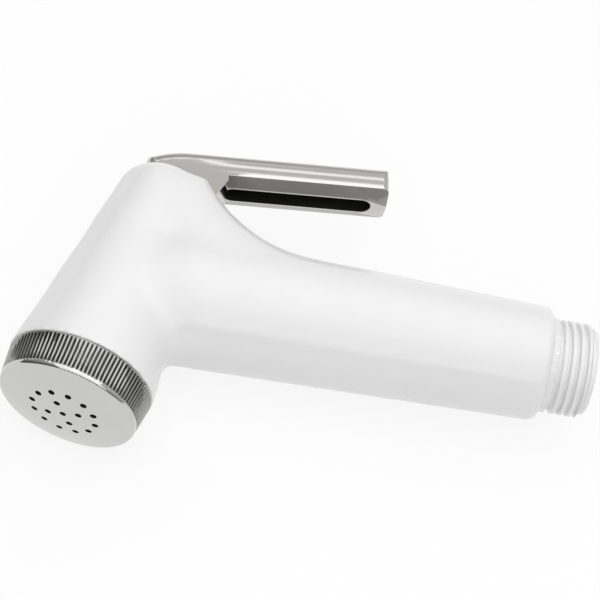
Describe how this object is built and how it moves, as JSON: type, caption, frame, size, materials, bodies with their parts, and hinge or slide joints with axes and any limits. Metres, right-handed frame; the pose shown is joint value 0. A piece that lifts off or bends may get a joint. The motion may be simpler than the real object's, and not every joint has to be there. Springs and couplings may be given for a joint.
{
  "type": "handheld bidet shower",
  "caption": "Handheld toilet shower: white body with barrel and handle, chrome thumb lever, knurled chrome spray cap with a domed face and small holes, threaded hose inlet",
  "frame": {"origin": "middle of the hose thread on the handle's axis", "axes": "+X runs along the handle's axis and out of the hose inlet; +Y points from the handle's axis to the lever's side; +Z is square to the plane of symmetry and points up when the spray lies on its side"},
  "size_m": [0.1258, 0.0767, 0.033],
  "materials": {
    "white_plastic": "glossy, slightly warm white moulded ABS",
    "chrome_plating": "bright chrome plate",
    "steel": "plain stainless steel",
    "brass": "turned brass, bare",
    "valve_plastic": "natural acetal",
    "black_rubber": "black nitrile rubber"
  },
  "bodies": {
    "housing": {"body": "white_plastic", "spray_cap": "chrome_plating", "inlet_nipple": "white_plastic", "lever_pin": "steel", "gland_sleeve": "valve_plastic", "gland_oring": "black_rubber", "gland_circlip": "steel", "valve_seat": "valve_plastic", "seat_oring": "black_rubber", "return_spring": "steel", "spring_plate": "valve_plastic", "flow_diffuser": "valve_plastic", "face_gasket": "black_rubber", "nipple_oring": "black_rubber", "inlet_strainer": "valve_plastic"},
    "lever_arm": {"lever": "chrome_plating"},
    "stem": {"valve_stem": "brass", "stem_cap": "brass", "stem_oring_upper": "black_rubber", "stem_oring_lower": "black_rubber", "valve_washer": "black_rubber", "washer_cup": "brass", "stem_nut": "steel"}
  },
  "joints": [
    {"name": "lever_hinge", "type": "hinge", "parent": "housing", "child": "lever_arm", "pos_m": [-0.09896, 0.02768, 0], "axis": [0, 0, -1], "range_deg": [0, 11], "stiffness_Nm_per_rad": 0.08, "springref_deg": -34.38},
    {"name": "stem_slide", "type": "slide", "parent": "housing", "child": "stem", "axis": [-0.19, -0.9818, 0], "range_m": [0, 0.00095], "deforming": ["return_spring"]}
  ],
  "couplings": [
    {"joint": "stem_slide", "follows": "lever_hinge", "m_per_rad": 0.0046}
  ]
}
